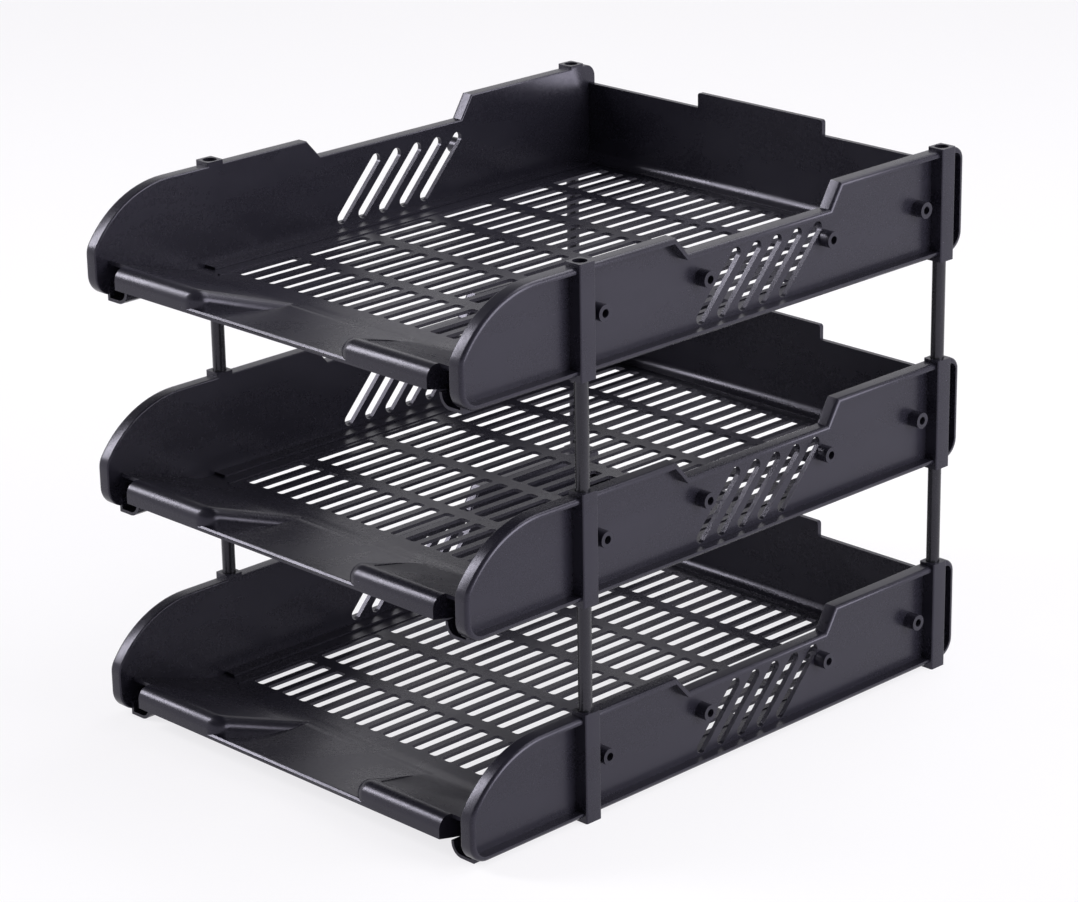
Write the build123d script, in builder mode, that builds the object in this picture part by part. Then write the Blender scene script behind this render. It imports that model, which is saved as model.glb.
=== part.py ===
from build123d import *
import os
from math import acos, atan2, cos, degrees, radians, sin, sqrt, tan

os.makedirs("parts", exist_ok=True)

# Millimetres. X right, Y from the front (0) to the back while modelling, Z up
# with 0 at the lower edge of a tray's rim. place() sets a tray into the stack.

# ---- the stack ----
tiers = ("bottom", "middle", "top")
pitch = 106.3                 # one tray to the next
depth = 335.0                 # front to back over the side pieces
foot_drop = 2.5               # sockets and toes reach this far below the rim

# ---- side piece ----
wall_in = 120.3               # inner face of a side wall, from the middle
wall_thick = 2.5
rim_out = wall_in + 7.7       # edge of the outward rim
rim_thick = 2.6
rim_round = 2.0               # outer edge of the rim
wall_round = 0.8              # edge between the rim's top and the wall's inner face
height_front = 49.8
height_notch = 40.4
height_back = 52.2
notch_y = (0.3988 * depth, 0.4239 * depth,    # down-slope start and end
           0.7101 * depth, 0.7325 * depth)    # up-slope start and end
nose_y = 47.0                 # the front curve leaves the level top here
nose_radius = 54.7
corner_nose = 10.0            # rounding where the curve meets the upright front
corner_front = 10.0
corner_back_low = 10.0
corner_back_top = 6.5

socket_y = (75.4, depth - 13.4)               # front and back post sockets
socket_side = 9.6
socket_corner = 0.8
socket_out = wall_in + 9.4
socket_top = (height_front + 1.9, height_back + 1.5)
socket_x = wall_in + 4.5      # post line
bore_radius = 3.45
bore_depth = (22.0, 23.0)     # front and back sockets, from above and from below
post_radius = 3.3
post_gap = 0.1                # play at each end of a post
post_chamfer = 0.5

peg_y = (socket_y[0] + 11.5, 0.4615 * depth, 0.7137 * depth, socket_y[1] - 15.2)
peg_z = 25.8
peg_radius = 4.0
peg_hole = 2.0
peg_floor = 0.9               # wall left at the bottom of a peg's hole
peg_tip = wall_in + 8.6

vent_count = 5
vent_slant = (23.7, 25.5)     # from the centre of a slot's lower end to its upper end
vent_low = (peg_y[1] + 0.1, 6.3)
vent_step = (peg_y[2] - peg_y[1] - 28.5) / (vent_count - 1)
vent_width = 6.0

# ---- floor ----
fit = 0.1                     # play between floor edge and channel faces
gap = 0.3                     # play at the ends of pieces
floor_top = 0.8
floor_thick = 1.6
flat_y = 66.0                 # in front of this line the floor sweeps up
sweep_radius = 276.0
back_in = depth - 5.0         # inner face of the back panel
floor_end = back_in - gap
bead_x = wall_in - 14.7       # stiffening bead along each edge of the grille
bead_width = 1.6
bead_height = 0.5
slot_columns = 20
slot_pitch = 2 * (bead_x - 1.1) / slot_columns
slot_width = 0.632 * slot_pitch
slot_corner = 1.5
slot_rows = tuple((start * depth, length * depth) for start, length in (
    (0.2080, 0.1110), (0.3410, 0.1140), (0.4770, 0.1095),
    (0.6075, 0.1045), (0.7315, 0.1015), (0.8495, 0.1070)))

# ---- lip ----
lip_out = wall_in - 13.8      # end of the roll
lip_setback = 8.0             # the ramp starts here beside the roll
lip_back = 60.0
scoop_front = 48.0            # half width of the finger scoop at the front
scoop_back = 40.0
lip_wall = 1.8
lip_roll = 6.0
lip_corner = 8.5
ramp_angle = 18.0
ramp_at_front = 19.7          # height of the ramp plane carried on to the front
crease_y = 9.5                # the ramp is sunk behind this line, so the roll stands proud
crease_side = 8.5             # the same beside the scoop, at its front end
crease_depth = 0.5
crease_round = 5.0
scoop_bead_depth = 2.4
scoop_bead_rise = 0.8         # over the floor's front edge, and its edge rounding

# ---- channel that carries the floor ----
channel_in = wall_in - 7.3    # edge of the upper lip of the channel
ledge_in = wall_in - 12.3     # edge of the lower ledge
channel_y = (flat_y, depth - 10.5)
channel_lip = 1.2
ledge_thick = 1.5
toe_in = lip_out + gap
toe_y = (7.0, 30.0)
toe_top = 4.6
toe_round = 6.5
toe_wall = 1.6

# ---- back panel ----
back_thick = 2.5
back_height = 42.6
tab_half = 42.0
tab_top = 50.4
tab_round = 1.5
cove_front = back_in - 4.8
cove_top = 6.6
cove_radius = 6.0
cove_edge = 0.8
back_ledge_y = channel_y[1] - 2.0
back_ledge_x = ledge_in - 0.6
tenon_z = (13.0, 30.0)
tenon_height = 8.0
tenon_play = 0.15

# ---- working room for cutting shapes ----
clear = 5.0
deep = 60.0


def sweep_z(y, drop=0.0):
    """Height of the floor's upper face at y, or of a face drop below it."""
    centre = floor_top + sweep_radius
    reach = min(y - flat_y, 0.0)
    return centre - sqrt((sweep_radius + drop) ** 2 - reach ** 2)


def sheet_lines(y0, y1, high, low):
    """Closed section of a band that follows the floor, high and low measured below its top."""
    split = min(max(y0, flat_y), y1)
    for drop in (high, low):
        if y0 < flat_y:
            middle = (y0 + split) / 2
            ThreePointArc((y0, sweep_z(y0, drop)), (middle, sweep_z(middle, drop)),
                          (split, sweep_z(split, drop)))
        if y1 > split:
            Line((split, sweep_z(split, drop)), (y1, sweep_z(y1, drop)))
    Line((y0, sweep_z(y0, high)), (y0, sweep_z(y0, low)))
    Line((y1, sweep_z(y1, high)), (y1, sweep_z(y1, low)))


def side_face(inset, x):
    """Outline of a side piece as a sketch at x, drawn inset from its edge."""
    front, back, low = inset, depth - inset, inset
    r_front, r_low, r_top = corner_front - inset, corner_back_low - inset, corner_back_top - inset
    top, notch, rear = height_front - inset, height_notch - inset, height_back - inset
    down = inset * tan(atan2(height_front - height_notch, notch_y[1] - notch_y[0]) / 2)
    up = inset * tan(atan2(height_back - height_notch, notch_y[3] - notch_y[2]) / 2)
    nose = nose_radius - inset
    reach = acos((nose_y - inset) / nose)
    nose_centre = height_front - nose_radius
    foot = (front, nose_centre + nose * sin(reach))
    with BuildSketch(Plane.YZ.offset(x)) as face:
        with BuildLine():
            Line((front + r_front, low), (back - r_low, low))
            CenterArc((back - r_low, low + r_low), r_low, -90, 90)
            Line((back, low + r_low), (back, rear - r_top))
            CenterArc((back - r_top, rear - r_top), r_top, 0, 90)
            Polyline((back - r_top, rear), (notch_y[3] + up, rear), (notch_y[2] + up, notch),
                     (notch_y[1] - down, notch), (notch_y[0] - down, top), (nose_y, top))
            CenterArc((nose_y, nose_centre), nose, 90, 90 - degrees(reach))
            Line(foot, (front, low + r_front))
            CenterArc((front + r_front, low + r_front), r_front, 180, 90)
        make_face()
        fillet(face.vertices().sort_by_distance((*foot, 0))[0], radius=corner_nose - inset)
    return face.sketch


def toe_face(inset, top, y):
    """Section of the toe as a sketch at y, shrunk by inset at its inner side and below."""
    corner = toe_round - inset
    left, low = toe_in + inset, inset - foot_drop
    right = wall_in + 1 - inset
    with BuildSketch(Plane.XZ.offset(-y)) as face:
        with BuildLine():
            Polyline((left + corner, low), (right, low), (right, top), (left, top),
                     (left, low + corner))
            CenterArc((left + corner, low + corner), corner, 180, 90)
        make_face()
    return face.sketch


def ramp_wedge(height, limit):
    """Solid between the ramp plane, given its height at the front, and the level limit."""
    fall = tan(radians(ramp_angle))
    far = lip_back + 4 * clear
    with BuildPart() as wedge:
        with BuildSketch(Plane.YZ):
            Polygon((-clear, height + clear * fall), (far, height - far * fall), (far, limit),
                    (-clear, limit), align=None)
        extrude(amount=wall_in + 2 * clear)
    return wedge.part


def lip_block(inset, outline):
    """Right half of the lip: outline gives the corners after the scoop's front one."""
    lean = (scoop_front - scoop_back) / lip_back
    slip = inset * sqrt(1 + lean ** 2)
    back = lip_back + clear
    side_front = scoop_front - lean * inset + slip
    side_back = scoop_front - lean * back + slip
    with BuildPart() as block:
        with BuildSketch(Plane.XY.offset(-deep / 2)):
            Polygon((side_front, inset), *outline, (outline[-1][0], back), (side_back, back),
                    align=None)
        extrude(amount=deep)
        corner = block.edges().filter_by(Axis.Z).sort_by_distance((side_front, inset, 0))[0]
        fillet(corner, radius=lip_corner - inset)
        add(ramp_wedge(ramp_at_front - inset / cos(radians(ramp_angle)), deep), mode=Mode.SUBTRACT)
        slope = block.faces().sort_by(Axis.Z)[-1]
        rolled = [e for e in slope.edges()
                  if e.center().Y < back - 1 and (e.center().X < side_front + lip_corner
                                                  or e.center().Y < inset + 0.5)]
        fillet(rolled, radius=lip_roll - inset)
    return block.part


lip_full = lip_block(0.0, ((lip_out, 0.0), (lip_out, lip_setback), (wall_in - gap, lip_setback)))

# hollow under the lip: closed at the end of the roll, open in the gap beside it
cap_in, cap_back, open_y = lip_out - lip_wall, toe_y[1] + lip_wall, lip_setback - 1
lip_core = lip_block(lip_wall, ((cap_in, lip_wall), (cap_in, cap_back), (lip_out, cap_back),
                                (lip_out, open_y), (wall_in, open_y)))

# thin layer taken off the ramp behind the roll
with BuildPart() as lip_sunk:
    with BuildSketch(Plane.XY.offset(-clear)) as layer:
        Polygon((scoop_front + crease_side, crease_y), (wall_in + clear, crease_y),
                (wall_in + clear, lip_back), (scoop_back, lip_back), align=None)
        fillet(layer.vertices().sort_by_distance((scoop_front + crease_side, crease_y, 0))[0],
               radius=crease_round)
    extrude(amount=deep / 2)
    add(ramp_wedge(ramp_at_front - crease_depth, -deep), mode=Mode.SUBTRACT)
    with BuildSketch(Plane.YZ):
        with BuildLine():
            sheet_lines(-clear, lip_back + clear, 0.0, deep)
        make_face()
    extrude(amount=wall_in + 2 * clear, mode=Mode.SUBTRACT)

# ---- floor with its lip, one moulding ----
with BuildPart() as floor:
    with BuildSketch(Plane.YZ.offset(-(wall_in - gap))):
        with BuildLine():
            sheet_lines(lip_setback, floor_end, 0.0, floor_thick)
        make_face()
    extrude(amount=2 * (wall_in - gap))
    with BuildSketch(Plane.YZ.offset(-lip_out)):
        with BuildLine():
            sheet_lines(0.0, lip_setback + 1, 0.0, floor_thick)
        make_face()
    extrude(amount=2 * lip_out)
    add(lip_full)
    add(mirror(lip_full, about=Plane.YZ))
    for cutter in (lip_core, lip_sunk.part):
        add(cutter, mode=Mode.SUBTRACT)
        add(mirror(cutter, about=Plane.YZ), mode=Mode.SUBTRACT)
    with BuildSketch(Plane.YZ.offset(-wall_in)):
        with BuildLine():
            sheet_lines(-clear, depth, floor_thick, floor_thick + deep)
        make_face()
    extrude(amount=2 * wall_in, mode=Mode.SUBTRACT)
    bead_half = scoop_front + lip_corner - lip_wall
    with BuildSketch(Plane.YZ.offset(-bead_half)):
        edge = sweep_z(0)
        Polygon((0, edge - floor_thick / 2), (scoop_bead_depth, edge - floor_thick / 2),
                (scoop_bead_depth, edge), (scoop_bead_depth - scoop_bead_rise, edge + scoop_bead_rise),
                (scoop_bead_rise, edge + scoop_bead_rise), (0, edge), align=None)
    extrude(amount=2 * bead_half)
    for side in (-1, 1):
        with BuildSketch(Plane.YZ.offset(side * bead_x - bead_width / 2)):
            with BuildLine():
                sheet_lines(lip_back + 2, back_ledge_y, -bead_height, floor_thick / 2)
            make_face()
        extrude(amount=bead_width)
    for start, length in slot_rows:
        with BuildSketch(Plane.XY.offset(-10)):
            with Locations((0, start + length / 2)):
                with GridLocations(slot_pitch, 1, slot_columns, 1):
                    RectangleRounded(slot_width, length, slot_corner)
        extrude(amount=30, mode=Mode.SUBTRACT)

# ---- side piece, right hand ----
with BuildPart() as side:
    extrude(side_face(0.0, wall_in), amount=rim_out - wall_in)
    fillet(side.faces().sort_by(Axis.X)[-1].outer_wire().edges(), radius=rim_round)
    fillet(side.faces().sort_by(Axis.X)[0].outer_wire().edges(), radius=wall_round)
    extrude(side_face(rim_thick, wall_in + wall_thick), amount=rim_out - wall_in,
            mode=Mode.SUBTRACT)
    for y, top in zip(socket_y, socket_top):
        with BuildSketch(Plane.XY.offset(-foot_drop)):
            with Locations(((wall_in + socket_out) / 2, y)):
                RectangleRounded(socket_out - wall_in, socket_side, socket_corner)
        extrude(amount=top + foot_drop)
    with BuildSketch(Plane.YZ.offset(wall_in + wall_thick / 2)):
        with Locations(*[(y, peg_z) for y in peg_y]):
            Circle(peg_radius)
    extrude(amount=peg_tip - wall_in - wall_thick / 2)
    for reach, high, low in ((channel_in, -fit - channel_lip, -fit),
                             (ledge_in, floor_thick + fit, floor_thick + fit + ledge_thick)):
        with BuildSketch(Plane.YZ.offset(reach)):
            with BuildLine():
                sheet_lines(*channel_y, high, low)
            make_face()
        extrude(amount=wall_in - reach + wall_thick / 2)
    extrude(toe_face(0.0, toe_top, toe_y[1]), amount=toe_y[1] - toe_y[0])
    extrude(toe_face(toe_wall, toe_top + 1, toe_y[1] - toe_wall), amount=toe_y[1] - toe_wall,
            mode=Mode.SUBTRACT)
    with BuildSketch(Plane.YZ.offset(wall_in - 1)):
        for i in range(vent_count):
            with BuildLine():
                start = Vector(vent_low[0] + i * vent_step, vent_low[1])
                run = Line(start, start + Vector(*vent_slant))
            with Locations(run @ 0.5):
                SlotCenterToCenter(run.length, vent_width, rotation=run.tangent_angle_at(0))
    extrude(amount=wall_thick + 2, mode=Mode.SUBTRACT)
    with BuildSketch(Plane.YZ.offset(wall_in + peg_floor)):
        with Locations(*[(y, peg_z) for y in peg_y]):
            Circle(peg_hole)
    extrude(amount=peg_tip - wall_in, mode=Mode.SUBTRACT)
    for y, top, bore in zip(socket_y, socket_top, bore_depth):
        for level, direction in ((top, -1), (-foot_drop, 1)):
            with BuildSketch(Plane.XY.offset(level)):
                with Locations((socket_x, y)):
                    Circle(bore_radius)
            extrude(amount=direction * bore, mode=Mode.SUBTRACT)
    with BuildSketch(Plane.YZ.offset(wall_in - 1)):
        with Locations(*[(back_in + back_thick / 2, z) for z in tenon_z]):
            Rectangle(back_thick + 2 * tenon_play, tenon_height + 2 * tenon_play)
    extrude(amount=wall_thick + 2, mode=Mode.SUBTRACT)

# ---- back panel ----
half = wall_in - gap
with BuildPart() as back:
    with BuildSketch(Plane.XZ.offset(-(back_in + back_thick))) as sheet:
        low = sweep_z(flat_y, floor_thick + fit + ledge_thick)
        Polygon((-half, low), (half, low), (half, back_height), (tab_half, back_height),
                (tab_half, tab_top), (-tab_half, tab_top), (-tab_half, back_height),
                (-half, back_height), align=None)
        corners = sheet.vertices().filter_by(lambda v: max(abs(v.Y), abs(v.Z)) > back_height + 1)
        fillet(corners, radius=tab_round)
        with Locations(*[(s * (half + wall_thick / 2), z) for s in (-1, 1) for z in tenon_z]):
            Rectangle(wall_thick + 2 * gap, tenon_height)
    extrude(amount=back_thick)
    with BuildSketch(Plane.YZ.offset(-half)):
        with BuildLine():
            Line((cove_front, floor_top + fit), (back_in + 1, floor_top + fit))
            Line((back_in + 1, floor_top + fit), (back_in + 1, cove_top))
            Line((back_in + 1, cove_top), (back_in, cove_top))
            RadiusArc((back_in, cove_top), (cove_front, floor_top + fit + cove_edge), cove_radius)
            Line((cove_front, floor_top + fit + cove_edge), (cove_front, floor_top + fit))
        make_face()
    extrude(amount=2 * half)
    with BuildSketch(Plane.XY.offset(low)):
        Polygon((-back_ledge_x, back_ledge_y), (back_ledge_x, back_ledge_y),
                (back_ledge_x, back_in + 1), (-back_ledge_x, back_in + 1), align=None)
    extrude(amount=ledge_thick)

# ---- posts, one length at the front and one at the back ----
post_parts = {}
for place_name, y, top, bore in zip(("front", "back"), socket_y, socket_top, bore_depth):
    start = top - bore + post_gap
    end = pitch - foot_drop + bore - post_gap
    with BuildPart() as post:
        with BuildSketch(Plane.XY.offset(start)):
            with Locations((socket_x, y)):
                Circle(post_radius)
        extrude(amount=end - start)
        chamfer(post.edges().filter_by(GeomType.CIRCLE), length=post_chamfer)
    post_parts[place_name] = post.part


def place(solid, tier, name):
    """Set a piece into the stack, name it and write it out."""
    piece = solid.moved(Location((0, -depth / 2, foot_drop + tier * pitch)))
    piece.label = name
    export_step(piece, f"parts/{name}.step")


left = mirror(side.part, about=Plane.YZ)
for tier, tray in enumerate(tiers):
    place(floor.part, tier, f"{tray}_floor")
    place(side.part, tier, f"{tray}_right_side")
    place(left, tier, f"{tray}_left_side")
    place(back.part, tier, f"{tray}_back")
for tier, level in enumerate(("lower", "upper")):
    for where, solid in post_parts.items():
        place(solid, tier, f"post_{where}_right_{level}")
        place(mirror(solid, about=Plane.YZ), tier, f"post_{where}_left_{level}")
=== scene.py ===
"""Looks for the letter tray stack: finishes, edge rounding, studio and camera.

The CAD model is the frame. Its nodes are never moved; each gets rounded edges
and a procedural finish. Everything is in metres, +X right, +Y back, +Z up.
"""

import logging
import math
from dataclasses import dataclass, field
from enum import Enum

import bpy
import numpy as np
from mathutils import Matrix, Vector


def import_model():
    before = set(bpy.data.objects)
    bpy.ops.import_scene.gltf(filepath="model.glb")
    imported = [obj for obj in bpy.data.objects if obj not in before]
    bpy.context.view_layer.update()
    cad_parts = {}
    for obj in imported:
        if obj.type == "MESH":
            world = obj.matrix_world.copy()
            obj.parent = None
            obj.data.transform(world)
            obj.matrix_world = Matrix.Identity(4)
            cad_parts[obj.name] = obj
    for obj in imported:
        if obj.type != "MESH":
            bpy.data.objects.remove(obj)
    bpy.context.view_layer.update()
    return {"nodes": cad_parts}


LOG = logging.getLogger("tray_stack")
MM = 0.001
FINE_RIPPLE = 0.2            # bump strength of a grain too fine to see singly
EDGE_SAMPLES = 4
GLOSS_TINT = (0.84, 0.80, 1.0, 1.0)      # cool cast of the highlights on both finishes


# --------------------------------------------------------------------------- names

class Tier(Enum):
    """The trays from the table upwards."""

    BOTTOM = "bottom"
    MIDDLE = "middle"
    TOP = "top"


class Slot(Enum):
    """Material slots of the record."""

    PLASTIC = "black_plastic"
    STEEL = "post_steel"


# --------------------------------------------------------------------------- materials

@dataclass
class NodeSheet:
    """A material's node tree with short calls for the nodes the finishes share."""

    name: str
    material: bpy.types.Material = field(init=False)

    def __post_init__(self) -> None:
        """Start an empty node material."""
        self.material = bpy.data.materials.new(self.name)
        self.material.use_nodes = True
        self.material.node_tree.nodes.clear()

    @property
    def tree(self) -> bpy.types.NodeTree:
        """The node tree itself."""
        return self.material.node_tree

    def add(self, kind: str, values: dict | None = None, **settings) -> bpy.types.Node:
        """Add a node.

        Args:
            kind: the node's class name.
            values: input name or index to a number, colour or output socket.
            settings: attributes set on the node.

        Returns:
            The new node.
        """
        node = self.tree.nodes.new(kind)
        for key, value in settings.items():
            setattr(node, key, value)
        for key, value in (values or {}).items():
            if isinstance(value, bpy.types.NodeSocket):
                self.tree.links.new(value, node.inputs[key])
            else:
                node.inputs[key].default_value = value
        return node

    def noise(self, scale: float, detail: float = 3.0, roughness: float = 0.55,
              stretch: tuple[float, float, float] = (1.0, 1.0, 1.0)) -> bpy.types.NodeSocket:
        """Noise on Object coordinates.

        Args:
            scale: features per metre.
            detail: number of finer layers.
            roughness: weight of the finer layers.
            stretch: scale of each axis before the noise.

        Returns:
            The noise value socket.
        """
        coordinates = self.add("ShaderNodeTexCoord").outputs["Object"]
        mapped = self.add("ShaderNodeMapping", {"Vector": coordinates, "Scale": stretch})
        return self.add("ShaderNodeTexNoise", {"Vector": mapped.outputs["Vector"], "Scale": scale,
                                               "Detail": detail, "Roughness": roughness}).outputs["Fac"]

    def remap(self, value: bpy.types.NodeSocket, low: float, high: float,
              to_low: float, to_high: float) -> bpy.types.NodeSocket:
        """Clamped linear map of value from (low, high) to (to_low, to_high)."""
        node = self.add("ShaderNodeMapRange", {"Value": value, "From Min": low, "From Max": high,
                                               "To Min": to_low, "To Max": to_high})
        return node.outputs["Result"]

    def math(self, operation: str, *values) -> bpy.types.NodeSocket:
        """One Math node over sockets or numbers."""
        node = self.add("ShaderNodeMath", operation=operation)
        for index, value in enumerate(values):
            if isinstance(value, bpy.types.NodeSocket):
                self.tree.links.new(value, node.inputs[index])
            else:
                node.inputs[index].default_value = value
        return node.outputs[0]

    def blend(self, factor: bpy.types.NodeSocket, first, second) -> bpy.types.NodeSocket:
        """Mix two colours by a factor socket."""
        node = self.add("ShaderNodeMix", data_type="RGBA")
        self.tree.links.new(factor, node.inputs["Factor"])
        for name, value in (("A", first), ("B", second)):
            socket = [s for s in node.inputs if s.name == name and s.type == "RGBA"][0]
            if isinstance(value, bpy.types.NodeSocket):
                self.tree.links.new(value, socket)
            else:
                socket.default_value = (*value, 1.0)
        return [s for s in node.outputs if s.type == "RGBA"][0]

    def edges(self, radius: float, gain: float) -> bpy.types.NodeSocket:
        """Mask of convex and concave edges: how far a rounded normal leaves the real one."""
        rounded = self.add("ShaderNodeBevel", {"Radius": radius}, samples=EDGE_SAMPLES).outputs["Normal"]
        plain = self.add("ShaderNodeNewGeometry").outputs["Normal"]
        product = self.add("ShaderNodeVectorMath", operation="DOT_PRODUCT")
        self.tree.links.new(rounded, product.inputs[0])
        self.tree.links.new(plain, product.inputs[1])
        return self.math("MULTIPLY", self.math("SUBTRACT", 1.0, product.outputs["Value"]), gain)

    def bump(self, height: bpy.types.NodeSocket, distance: float, strength: float,
             normal: bpy.types.NodeSocket | None = None) -> bpy.types.NodeSocket:
        """Bump from a height socket, distance in metres, on top of another normal."""
        values = {"Height": height, "Distance": distance, "Strength": strength}
        if normal is not None:
            values["Normal"] = normal
        return self.add("ShaderNodeBump", values).outputs["Normal"]

    def close(self, **inputs) -> bpy.types.Material:
        """Finish with a Principled shader whose sockets take the given values."""
        shader = self.add("ShaderNodeBsdfPrincipled",
                          {key.replace("_", " "): value for key, value in inputs.items()})
        self.add("ShaderNodeOutputMaterial", {"Surface": shader.outputs["BSDF"]})
        return self.material


@dataclass(frozen=True)
class MouldedPlastic:
    """Black injection-moulded polystyrene: fine spark grain, soft flow marks, handled edges."""

    name: str
    tint: tuple[float, float, float]
    gloss: float = 0.27
    gloss_spread: float = 0.08
    grain_per_metre: float = 2800.0
    grain_height: float = 0.000012
    flow_per_metre: float = 26.0
    flow_height: float = 0.0003
    flow_stretch: tuple[float, float, float] = (1.0, 0.45, 1.6)
    flow_strength: float = 0.5
    flow_shade: float = 1.35
    dust_per_metre: float = 420.0
    dust_dulls: float = 0.06
    wear_radius: float = 1.2 * MM
    wear_gain: float = 1.6
    wear_per_metre: float = 190.0
    wear_lightens: float = 0.6
    wear_polishes: float = 0.08

    def build(self) -> bpy.types.Material:
        """Returns the material."""
        sheet = NodeSheet(self.name)
        grain = sheet.noise(self.grain_per_metre, 2.0, 0.6)
        flow = sheet.noise(self.flow_per_metre, 4.0, 0.5, self.flow_stretch)
        dust = sheet.noise(self.dust_per_metre, 5.0, 0.7)
        wear = sheet.edges(self.wear_radius, self.wear_gain)
        patches = sheet.noise(self.wear_per_metre, 4.0, 0.7)
        worn = sheet.math("MULTIPLY", sheet.remap(wear, 0.02, 0.35, 0.0, 1.0),
                          sheet.remap(patches, 0.38, 0.66, 0.15, 1.0))
        lighter = tuple(channel * 1.9 + 0.004 for channel in self.tint)
        clouded = sheet.blend(sheet.remap(flow, 0.35, 0.7, 0.0, 0.55), self.tint,
                              tuple(channel * self.flow_shade for channel in self.tint))
        colour = sheet.blend(sheet.math("MULTIPLY", worn, self.wear_lightens), clouded, lighter)
        half = self.gloss_spread / 2
        rough = sheet.math("ADD", sheet.remap(flow, 0.3, 0.7, self.gloss - half, self.gloss + half),
                           sheet.remap(dust, 0.45, 0.7, 0.0, self.dust_dulls))
        rough = sheet.math("SUBTRACT", rough, sheet.math("MULTIPLY", worn, self.wear_polishes))
        normal = sheet.bump(flow, self.flow_height, self.flow_strength,
                            sheet.bump(grain, self.grain_height, FINE_RIPPLE))
        return sheet.close(Base_Color=colour, Roughness=rough, Normal=normal, IOR=1.52,
                           Specular_IOR_Level=0.38, Specular_Tint=GLOSS_TINT)


@dataclass(frozen=True)
class EnamelledSteel:
    """Drawn steel rod under black enamel: fine lengthwise drawing lines and a clear gloss."""

    name: str
    tint: tuple[float, float, float]
    gloss: float = 0.24
    gloss_range: tuple[float, float] = (-0.03, 0.05)
    drawn_per_metre: float = 900.0
    drawn_stretch: tuple[float, float, float] = (1.0, 1.0, 0.03)
    peel_per_metre: float = 700.0
    cloud_per_metre: float = 60.0
    cloud_shade: float = 1.5
    ripple_height: float = 0.000004

    def build(self) -> bpy.types.Material:
        """Returns the material."""
        sheet = NodeSheet(self.name)
        drawn = sheet.noise(self.drawn_per_metre, 3.0, 0.6, self.drawn_stretch)
        peel = sheet.noise(self.peel_per_metre, 2.0, 0.5)
        cloud = sheet.noise(self.cloud_per_metre, 3.0, 0.5)
        colour = sheet.blend(sheet.remap(cloud, 0.35, 0.7, 0.0, 1.0), self.tint,
                             tuple(channel * self.cloud_shade for channel in self.tint))
        rough = sheet.remap(sheet.math("ADD", sheet.math("MULTIPLY", drawn, 0.5),
                                       sheet.math("MULTIPLY", peel, 0.5)), 0.35, 0.65,
                            self.gloss + self.gloss_range[0], self.gloss + self.gloss_range[1])
        normal = sheet.bump(drawn, self.ripple_height, FINE_RIPPLE,
                            sheet.bump(peel, self.ripple_height, FINE_RIPPLE))
        return sheet.close(Base_Color=colour, Roughness=rough, Normal=normal, IOR=1.5,
                           Specular_IOR_Level=0.4, Specular_Tint=GLOSS_TINT,
                           Coat_Weight=0.15, Coat_Roughness=0.12)


@dataclass(frozen=True)
class StudioPaper:
    """Pale seamless paper: white to the camera beyond the object, plain paper to the light."""

    name: str
    tint: tuple[float, float, float]
    seen: tuple[float, float, float] = (0.985, 0.975, 1.0)
    whiteness: float = 0.8
    fibre_per_metre: float = 1400.0
    fibre_height: float = 0.00002
    cloud_per_metre: float = 3.0
    cloud_shade: float = 1.01

    def build(self) -> bpy.types.Material:
        """Returns the material."""
        sheet = NodeSheet(self.name)
        fibre = sheet.noise(self.fibre_per_metre, 3.0, 0.6)
        cloud = sheet.remap(sheet.noise(self.cloud_per_metre, 2.0), 0.3, 0.7, 0.0, 1.0)
        colour = sheet.blend(cloud, self.tint,
                             tuple(channel * self.cloud_shade for channel in self.tint))
        paper = sheet.add("ShaderNodeBsdfPrincipled",
                          {"Base Color": colour, "Roughness": 0.7, "Specular IOR Level": 0.25,
                           "Normal": sheet.bump(fibre, self.fibre_height, FINE_RIPPLE)})
        white = sheet.add("ShaderNodeEmission", {"Color": (*self.seen, 1.0), "Strength": 1.0})
        path = sheet.add("ShaderNodeLightPath").outputs
        looked_at = sheet.math("MAXIMUM", path["Is Camera Ray"],
                               sheet.math("MAXIMUM", path["Is Glossy Ray"],
                                          path["Is Transmission Ray"]))
        both = sheet.add("ShaderNodeMixShader",
                         {0: sheet.math("MULTIPLY", looked_at, self.whiteness),
                          1: paper.outputs["BSDF"], 2: white.outputs["Emission"]})
        sheet.add("ShaderNodeOutputMaterial", {"Surface": both.outputs[0]})
        return sheet.material


# --------------------------------------------------------------------------- edge rounding

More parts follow.
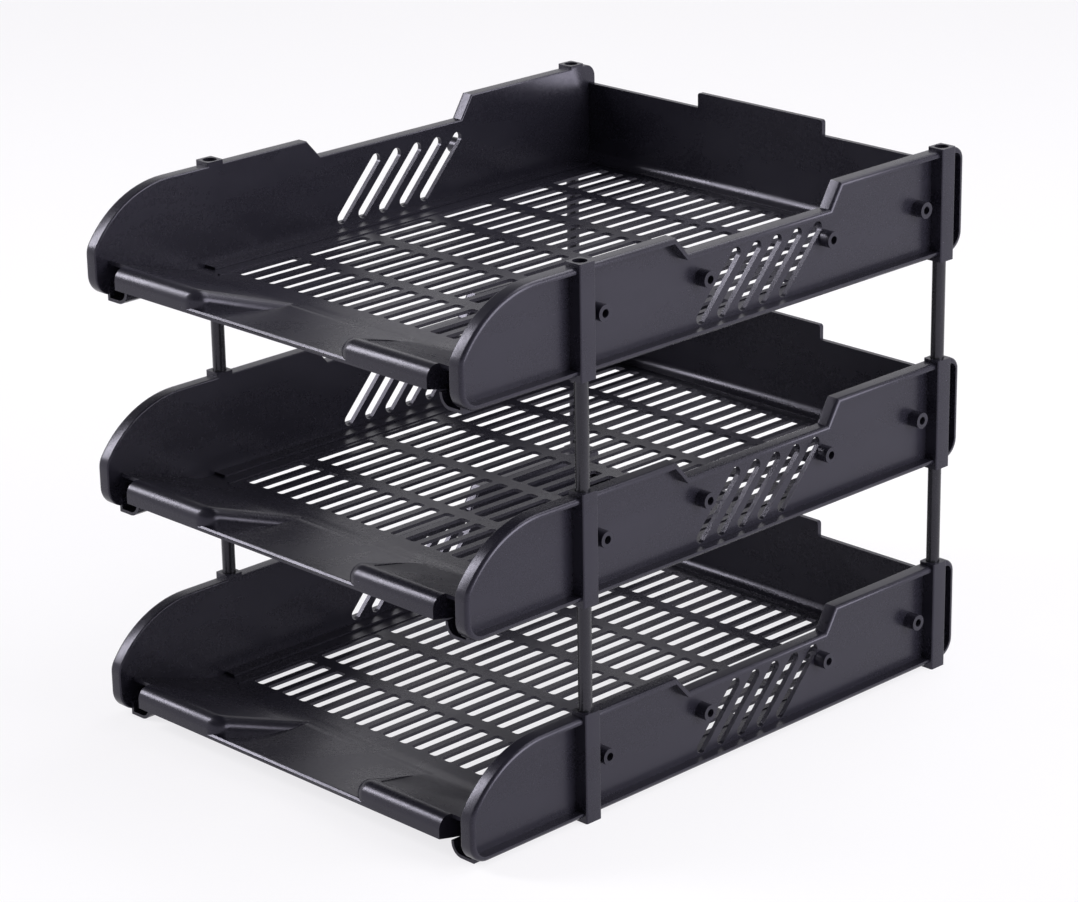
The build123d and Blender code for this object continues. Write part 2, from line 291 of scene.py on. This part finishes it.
@dataclass
class EdgeFinish:
    """Joins a node's loose triangles, shades its round faces smooth and rounds its sharp edges."""

    smooth_angle: float = math.radians(28.0)
    bevel_angle: float = math.radians(40.0)
    join_distance: float = 0.000002

    def group(self) -> bpy.types.GeometryNodeTree:
        """The shared geometry tree: merge by distance, then smooth except past the angle."""
        name = "join and smooth"
        if name in bpy.data.node_groups:
            return bpy.data.node_groups[name]
        tree = bpy.data.node_groups.new(name, "GeometryNodeTree")
        tree.interface.new_socket("Geometry", in_out="INPUT", socket_type="NodeSocketGeometry")
        tree.interface.new_socket("Geometry", in_out="OUTPUT", socket_type="NodeSocketGeometry")
        start, end = tree.nodes.new("NodeGroupInput"), tree.nodes.new("NodeGroupOutput")
        join = tree.nodes.new("GeometryNodeMergeByDistance")
        join.inputs["Distance"].default_value = self.join_distance
        angle = tree.nodes.new("GeometryNodeInputMeshEdgeAngle")
        flat = tree.nodes.new("FunctionNodeCompare")
        flat.operation, flat.data_type = "LESS_EQUAL", "FLOAT"
        flat.inputs[1].default_value = self.smooth_angle
        faces, edges = (tree.nodes.new("GeometryNodeSetShadeSmooth") for _ in range(2))
        edges.domain = "EDGE"
        link = tree.links.new
        link(start.outputs[0], join.inputs["Geometry"])
        link(join.outputs["Geometry"], faces.inputs["Geometry"])
        link(faces.outputs["Geometry"], edges.inputs["Geometry"])
        link(angle.outputs["Unsigned Angle"], flat.inputs[0])
        link(flat.outputs[0], edges.inputs["Shade Smooth"])
        link(edges.outputs["Geometry"], end.inputs[0])
        return tree

    def apply(self, piece: bpy.types.Object, width: float, segments: int = 2) -> None:
        """Give a piece the smoothing and a bevel.

        Args:
            piece: the CAD node's object.
            width: bevel width in metres.
            segments: bevel segments.
        """
        smooth = piece.modifiers.new("join and smooth", "NODES")
        smooth.node_group = self.group()
        bevel = piece.modifiers.new("eased edges", "BEVEL")
        bevel.width, bevel.segments = width, segments
        bevel.limit_method, bevel.angle_limit = "ANGLE", self.bevel_angle
        bevel.use_clamp_overlap, bevel.harden_normals = True, True


def dress(piece: bpy.types.Object, material: bpy.types.Material) -> None:
    """Put one material on a piece."""
    piece.data.materials.clear()
    piece.data.materials.append(material)
    piece.data.polygons.foreach_set("material_index", np.zeros(len(piece.data.polygons), np.int32))


def mesh_object(name: str, vertices: np.ndarray, faces: np.ndarray) -> bpy.types.Object:
    """Make an object from arrays.

    Args:
        name: object and mesh name.
        vertices: (n, 3) metres.
        faces: (m, 4) vertex indices, wound outwards.

    Returns:
        The linked object, at the origin.
    """
    mesh = bpy.data.meshes.new(name)
    mesh.from_pydata(vertices.tolist(), [], faces.tolist())
    mesh.polygons.foreach_set("use_smooth", np.ones(len(mesh.polygons), bool))
    mesh.update()
    piece = bpy.data.objects.new(name, mesh)
    bpy.context.scene.collection.objects.link(piece)
    return piece


# --------------------------------------------------------------------------- the object

@dataclass
class Tray:
    """One tray: floor with lip, two side pieces, back panel."""

    tier: Tier
    nodes: dict[str, bpy.types.Object]
    plastic: bpy.types.Material
    edges: EdgeFinish = field(default_factory=EdgeFinish)
    floor_edge: float = 0.30 * MM
    side_edge: float = 0.45 * MM
    back_edge: float = 0.50 * MM

    def widths(self) -> dict[str, float]:
        """Edge width of each of the tray's nodes."""
        return {"floor": self.floor_edge, "left_side": self.side_edge,
                "right_side": self.side_edge, "back": self.back_edge}

    def build(self) -> None:
        """Dress the tray's nodes."""
        for part, width in self.widths().items():
            name = f"{self.tier.value}_{part}"
            self.edges.apply(self.nodes[name], width)
            dress(self.nodes[name], self.plastic)
            LOG.info("dressed %s", name)


@dataclass
class Posts:
    """The eight round posts between the trays."""

    nodes: dict[str, bpy.types.Object]
    steel: bpy.types.Material
    edges: EdgeFinish = field(default_factory=EdgeFinish)
    edge: float = 0.2 * MM

    def build(self) -> None:
        """Dress the posts."""
        for name, piece in self.nodes.items():
            if name.startswith("post_"):
                self.edges.apply(piece, self.edge)
                dress(piece, self.steel)
                LOG.info("dressed %s", name)


# --------------------------------------------------------------------------- studio and camera

@dataclass
class Softbox:
    """A rectangular area light aimed at a point."""

    name: str
    place: tuple[float, float, float]
    aim: tuple[float, float, float]
    size: tuple[float, float]
    power: float
    colour: tuple[float, float, float] = (1.0, 1.0, 1.0)

    def build(self) -> bpy.types.Object:
        """Returns the lamp object."""
        lamp = bpy.data.lights.new(self.name, "AREA")
        lamp.shape, lamp.size, lamp.size_y = "RECTANGLE", *self.size
        lamp.energy, lamp.color = self.power, self.colour
        piece = bpy.data.objects.new(self.name, lamp)
        direction = Vector(self.aim) - Vector(self.place)
        piece.matrix_world = (Matrix.Translation(self.place)
                              @ direction.to_track_quat("-Z", "Y").to_matrix().to_4x4())
        bpy.context.scene.collection.objects.link(piece)
        return piece


@dataclass
class Studio:
    """Seamless pale sweep, world and softboxes."""

    half_width: float = 6.0
    front: float = -5.0
    back: float = 3.2
    radius: float = 1.6
    height: float = 5.0
    bend_steps: int = 25
    white: tuple[float, float, float, float] = (0.985, 0.98, 1.0, 1.0)
    middle: tuple[float, float, float] = (0.0, 0.0, 0.14)
    fill: float = 0.32
    wall_top: tuple[float, float] = (0.30, 0.55)
    ceiling: float = 0.15
    paper: StudioPaper = StudioPaper("seamless paper", (0.90, 0.89, 0.91))

    def sweep(self) -> bpy.types.Object:
        """The sweep: a floor line, a quarter circle and a wall line, carried along X."""
        turn = np.linspace(0.0, np.pi / 2, self.bend_steps)
        arc = np.stack([self.back + self.radius * np.sin(turn),
                        self.radius * (1 - np.cos(turn))], 1)
        profile = np.vstack([[self.front, 0.0], arc, [self.back + self.radius, self.height]])
        x = np.linspace(-self.half_width, self.half_width, 2)[:, None]
        grid = np.stack(np.broadcast_arrays(x, profile[:, 0], profile[:, 1]), -1)
        first = np.arange(len(profile) - 1)
        faces = np.stack([first, first + len(profile), first + len(profile) + 1, first + 1], 1)
        floor = mesh_object("studio sweep", grid.reshape(-1, 3), faces)
        floor.data.materials.append(self.paper.build())
        return floor

    def world(self) -> None:
        """White to the camera; white walls under a dim ceiling to gloss; a soft fill as light."""
        world = bpy.data.worlds.new("pale surround")
        bpy.context.scene.world = world
        world.use_nodes = True
        nodes, link = world.node_tree.nodes, world.node_tree.links.new
        nodes.clear()
        out, path = nodes.new("ShaderNodeOutputWorld"), nodes.new("ShaderNodeLightPath")
        fill, walls, seen = (nodes.new("ShaderNodeBackground") for _ in range(3))
        for background, strength in ((fill, self.fill), (walls, 1.0), (seen, 1.0)):
            background.inputs["Color"].default_value = self.white
            background.inputs["Strength"].default_value = strength
        split, height = nodes.new("ShaderNodeSeparateXYZ"), nodes.new("ShaderNodeMapRange")
        link(nodes.new("ShaderNodeTexCoord").outputs["Generated"], split.inputs[0])
        link(split.outputs["Z"], height.inputs["Value"])
        for name, value in (("From Min", self.wall_top[0]), ("From Max", self.wall_top[1]),
                            ("To Min", 1.0), ("To Max", self.ceiling)):
            height.inputs[name].default_value = value
        link(height.outputs["Result"], walls.inputs["Strength"])
        either = nodes.new("ShaderNodeMath")
        either.operation = "MAXIMUM"
        link(path.outputs["Is Glossy Ray"], either.inputs[0])
        link(path.outputs["Is Transmission Ray"], either.inputs[1])
        mirrored, looked_at = nodes.new("ShaderNodeMixShader"), nodes.new("ShaderNodeMixShader")
        link(either.outputs[0], mirrored.inputs[0])
        link(fill.outputs[0], mirrored.inputs[1])
        link(walls.outputs[0], mirrored.inputs[2])
        link(path.outputs["Is Camera Ray"], looked_at.inputs[0])
        link(mirrored.outputs[0], looked_at.inputs[1])
        link(seen.outputs[0], looked_at.inputs[2])
        link(looked_at.outputs[0], out.inputs["Surface"])

    def lamps(self) -> list[Softbox]:
        """The softboxes: a large one overhead, an upright strip at the left, a wide one at the right."""
        return [Softbox("overhead", (0.2, 0.9, 1.7), self.middle, (1.6, 0.8), 18.0),
                Softbox("left strip", (-1.4, -0.95, 1.2), self.middle, (0.36, 1.1), 26.0),
                Softbox("right wall", (1.9, 0.6, 0.8), self.middle, (1.3, 1.5), 50.0)]

    def build(self) -> None:
        """Make the whole studio."""
        self.sweep()
        self.world()
        for lamp in self.lamps():
            lamp.build()
            LOG.info("lamp %s", lamp.name)


@dataclass
class PhotoCamera:
    """Pinhole camera at the photograph's viewpoint."""

    azimuth: float = math.radians(45.57)
    elevation: float = math.radians(19.72)
    roll: float = math.radians(-0.97)
    distance: float = 1.754
    aim: tuple[float, float, float] = (0.0246, -0.0206, 0.1357)
    focal_pixels: float = 3675.0
    image_width: float = 1078.0
    sensor: float = 36.0

    def build(self) -> bpy.types.Object:
        """Returns the camera object, set as the scene's camera."""
        a, e, r = self.azimuth, self.elevation, self.roll
        back = Vector((math.sin(a) * math.cos(e), -math.cos(a) * math.cos(e), math.sin(e)))
        right = (-back).cross(Vector((0, 0, 1))).normalized()
        up = right.cross(-back)
        turned_right = math.cos(r) * right + math.sin(r) * up
        turned_up = -math.sin(r) * right + math.cos(r) * up
        rotation = Matrix((turned_right, turned_up, back)).transposed()
        data = bpy.data.cameras.new("photo camera")
        data.sensor_width, data.sensor_fit = self.sensor, "HORIZONTAL"
        data.lens = self.sensor * self.focal_pixels / self.image_width
        data.clip_end = 50.0
        camera = bpy.data.objects.new("photo camera", data)
        camera.matrix_world = (Matrix.Translation(Vector(self.aim) + back * self.distance)
                               @ rotation.to_4x4())
        bpy.context.scene.collection.objects.link(camera)
        bpy.context.scene.camera = camera
        return camera


def main() -> None:
    """Load the frame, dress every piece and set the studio."""
    logging.basicConfig(level=logging.INFO, format="%(name)s: %(message)s")
    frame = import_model()
    plastic = MouldedPlastic("black moulded plastic", (0.0100, 0.0094, 0.0145)).build()
    steel = EnamelledSteel("black enamelled rod", (0.007, 0.007, 0.008)).build()
    for tier in Tier:
        Tray(tier, frame["nodes"], plastic).build()
    Posts(frame["nodes"], steel).build()
    Studio().build()
    PhotoCamera().build()
    bpy.context.scene.view_settings.view_transform = "Standard"
    bpy.context.view_layer.update()


if __name__ == "__main__":
    main()
